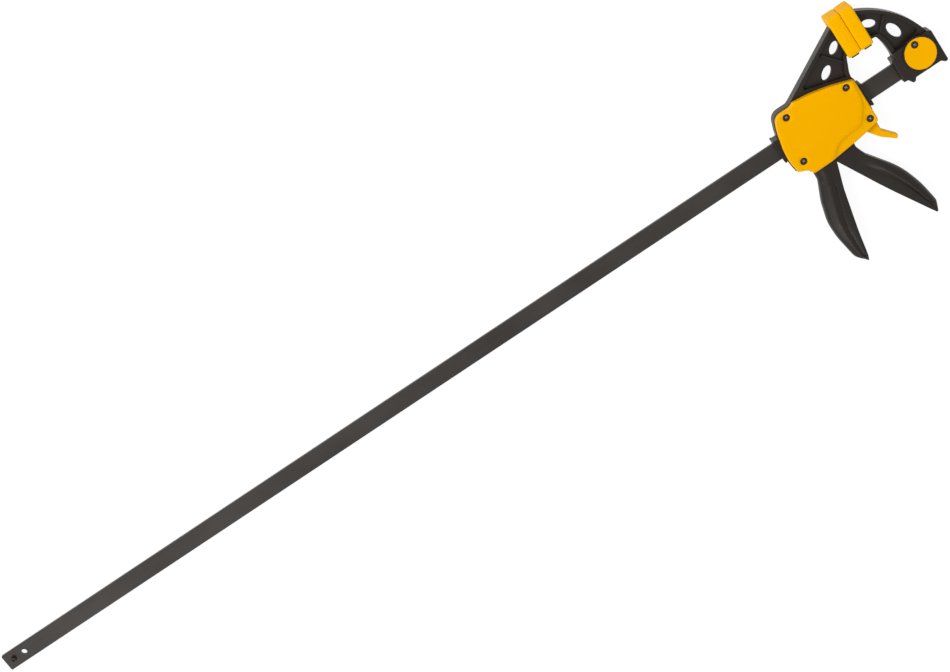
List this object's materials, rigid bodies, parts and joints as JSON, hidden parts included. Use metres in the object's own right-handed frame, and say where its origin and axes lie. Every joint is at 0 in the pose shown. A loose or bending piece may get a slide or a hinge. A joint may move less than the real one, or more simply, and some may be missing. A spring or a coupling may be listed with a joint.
{
  "type": "quick release bar clamp",
  "caption": "One-handed bar clamp: sliding pistol-grip head with trigger and release lever on a flat bar with a fixed jaw.",
  "frame": {"origin": "on the bar's centre line, in the plane where the closed pads meet", "axes": "+X along the bar towards the fixed jaw, +Y from the bar to the jaw tips, +Z out of the front cover"},
  "size_m": [1.2328, 0.2541, 0.0312],
  "materials": {
    "bar_steel": "blackened steel, satin, slightly mottled",
    "pin_steel": "bright zinc",
    "plate_steel": "hardened steel",
    "spring_steel": "drawn wire",
    "black_plastic": "fine-grained moulded nylon, satin",
    "guide_plastic": "low-friction moulding, matt",
    "yellow_plastic": "smooth moulded ABS, semi-gloss",
    "yellow_pad": "soft vinyl, satin",
    "black_screw": "black oxide"
  },
  "bodies": {
    "bar": {"slide_bar": "bar_steel", "bar_stop_pin": "pin_steel", "fixed_jaw": "black_plastic", "fixed_jaw_pad": "yellow_pad", "jaw_cross_pin": "pin_steel", "jaw_cap_front": "yellow_plastic", "jaw_cap_back": "yellow_plastic", "jaw_cap_screw": "black_screw"},
    "slider": {"slider_frame": "black_plastic", "moving_jaw_pad": "yellow_pad", "front_bar_guide": "guide_plastic", "rear_bar_guide": "guide_plastic", "body_cover_front": "yellow_plastic", "body_cover_back": "yellow_plastic", "cover_screws": "black_screw", "trigger_pin": "pin_steel", "release_bush": "pin_steel", "drive_spring": "spring_steel", "brake_spring": "spring_steel"},
    "trigger": {"trigger_handle": "black_plastic"},
    "drive": {"drive_plates": "plate_steel"},
    "release": {"release_lever": "yellow_plastic"},
    "brake": {"brake_plate": "plate_steel"}
  },
  "joints": [
    {"name": "head_slide", "type": "slide", "parent": "bar", "child": "slider", "axis": [-1, 0, 0], "range_m": [0, 1.016]},
    {"name": "trigger_pivot", "type": "hinge", "parent": "slider", "child": "trigger", "pos_m": [-0.066, 0.015, 0], "axis": [0, 0, -1], "range_deg": [0, 22], "stiffness_Nm_per_rad": 0.6, "springref_deg": -8.59},
    {"name": "drive_stroke", "type": "slide", "parent": "slider", "child": "drive", "axis": [-1, 0, 0], "range_m": [0, 0.0059], "deforming": ["drive_spring"]},
    {"name": "release_pivot", "type": "hinge", "parent": "slider", "child": "release", "pos_m": [-0.0298, -0.0233, 0], "axis": [0, 0, -1], "range_deg": [0, 20], "stiffness_Nm_per_rad": 0.15, "springref_deg": -8.59},
    {"name": "brake_tilt", "type": "hinge", "parent": "slider", "child": "brake", "pos_m": [-0.0462, 0.0165, 0], "axis": [0, 0, -1], "range_deg": [0, 4.2], "deforming": ["brake_spring"]}
  ],
  "couplings": [
    {"joint": "drive_stroke", "follows": "trigger_pivot", "m_per_rad": 0.01536},
    {"joint": "brake_tilt", "follows": "release_pivot", "ratio": 0.21}
  ]
}
